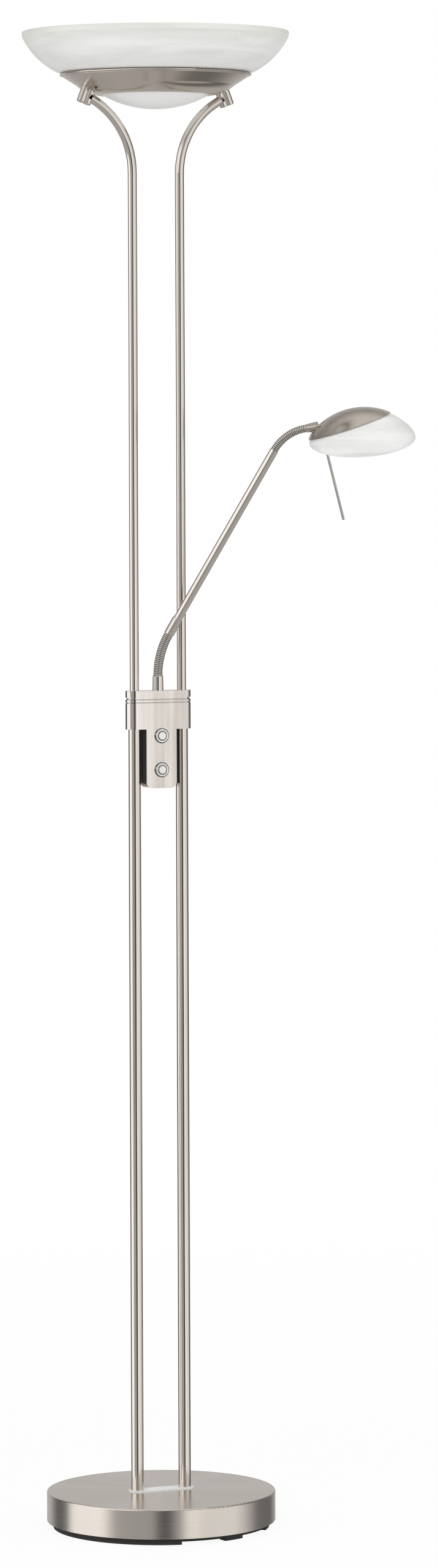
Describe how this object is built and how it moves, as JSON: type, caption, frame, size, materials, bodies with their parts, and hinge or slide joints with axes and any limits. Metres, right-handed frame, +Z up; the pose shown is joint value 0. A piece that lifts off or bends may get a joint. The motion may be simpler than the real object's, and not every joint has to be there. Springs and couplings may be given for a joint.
{
  "type": "torchiere floor lamp with reading light",
  "caption": "Floor lamp with twin brushed-metal tubes, a glass uplight bowl, a gooseneck reading light and push-button switches on a round weighted base.",
  "frame": {"origin": "middle of the base on the floor", "axes": "+Z up, +X from the left tube to the right tube, -Y towards the side with the push buttons"},
  "size_m": [0.4328, 0.3605, 1.8],
  "materials": {
    "brushed_nickel": "fine brushed, satin",
    "polished_nickel": "polished",
    "alabaster_glass": "white, softly clouded, satin",
    "lamp_glass": "clear",
    "clear_plate": "clear to white, glossy",
    "cast_iron": "rough cast",
    "black_plastic": "fine matt",
    "rubber": "matt",
    "ceramic": "unglazed ceramic",
    "zinc_steel": "zinc plated"
  },
  "bodies": {
    "stand": {"base_cover": "brushed_nickel", "base_weight": "cast_iron", "base_bottom_plate": "black_plastic", "bottom_screws": "zinc_steel", "foot_pads": "rubber", "cord_gland": "black_plastic", "tube_foot_plate": "clear_plate", "lower_tube_left": "brushed_nickel", "lower_tube_right": "brushed_nickel", "tube_studs": "zinc_steel", "stud_washers": "zinc_steel", "stud_nuts": "zinc_steel", "upper_tube_right": "brushed_nickel", "upper_tube_left": "brushed_nickel", "housing_shell": "brushed_nickel", "housing_frame": "zinc_steel", "housing_lid": "brushed_nickel", "lid_screws": "zinc_steel", "switch_box": "black_plastic", "rear_screws": "zinc_steel", "terminal_block": "black_plastic", "uplight_dish": "brushed_nickel", "bowl_glass": "alabaster_glass", "bowl_seat_ring": "rubber", "dome_glass": "alabaster_glass", "dome_ring": "zinc_steel", "lamp_bridge": "zinc_steel", "lamp_holders": "ceramic", "linear_lamp": "lamp_glass", "head_block_right": "brushed_nickel", "head_block_left": "brushed_nickel", "head_block_screws": "polished_nickel", "button_bezel_upper": "polished_nickel", "push_switch_upper": "black_plastic", "button_bezel_lower": "polished_nickel", "push_switch_lower": "black_plastic"},
    "arm_foot": {"arm_ferrule": "brushed_nickel", "swivel_nut": "zinc_steel", "lower_gooseneck": "brushed_nickel"},
    "reading_arm": {"rod_sleeve": "brushed_nickel", "reading_rod": "brushed_nickel"},
    "neck_foot": {"upper_ferrule": "brushed_nickel", "upper_gooseneck": "brushed_nickel"},
    "reading_head": {"head_stem": "brushed_nickel", "head_bracket": "zinc_steel", "clamp_nut": "zinc_steel", "shade_spacer": "rubber", "reading_shade": "alabaster_glass", "reading_cap": "brushed_nickel", "small_holder": "ceramic", "capsule_lamp": "lamp_glass", "handle_rod": "polished_nickel", "handle_collar": "polished_nickel"},
    "upper_button": {"push_button_upper": "polished_nickel"},
    "lower_button": {"push_button_lower": "polished_nickel"}
  },
  "joints": [
    {"name": "arm_swivel", "type": "hinge", "parent": "stand", "child": "arm_foot", "pos_m": [0, 0, 1.0063], "axis": [0, 0, -1], "range_deg": [-8, 120]},
    {"name": "lower_neck_bend", "type": "hinge", "parent": "arm_foot", "child": "reading_arm", "pos_m": [0.00284, -0.00196, 1.05009], "axis": [0.5678, 0.8231, 0], "range_deg": [-15, 55], "deforming": ["lower_gooseneck"]},
    {"name": "head_turn", "type": "hinge", "parent": "reading_arm", "child": "neck_foot", "pos_m": [0.11833, -0.08163, 1.29508], "axis": [0.4178, -0.2882, 0.8616], "range_deg": [-90, 90]},
    {"name": "upper_neck_bend", "type": "hinge", "parent": "neck_foot", "child": "reading_head", "pos_m": [0.13195, -0.09103, 1.31259], "axis": [0.5678, 0.8231, 0], "range_deg": [-45, 45], "deforming": ["upper_gooseneck"]},
    {"name": "upper_button_press", "type": "slide", "parent": "stand", "child": "upper_button", "axis": [0, 1, 0], "range_m": [0, 0.0015], "stiffness_N_per_m": 900, "springref_m": -0.001},
    {"name": "lower_button_press", "type": "slide", "parent": "stand", "child": "lower_button", "axis": [0, 1, 0], "range_m": [0, 0.0015], "stiffness_N_per_m": 900, "springref_m": -0.001}
  ]
}
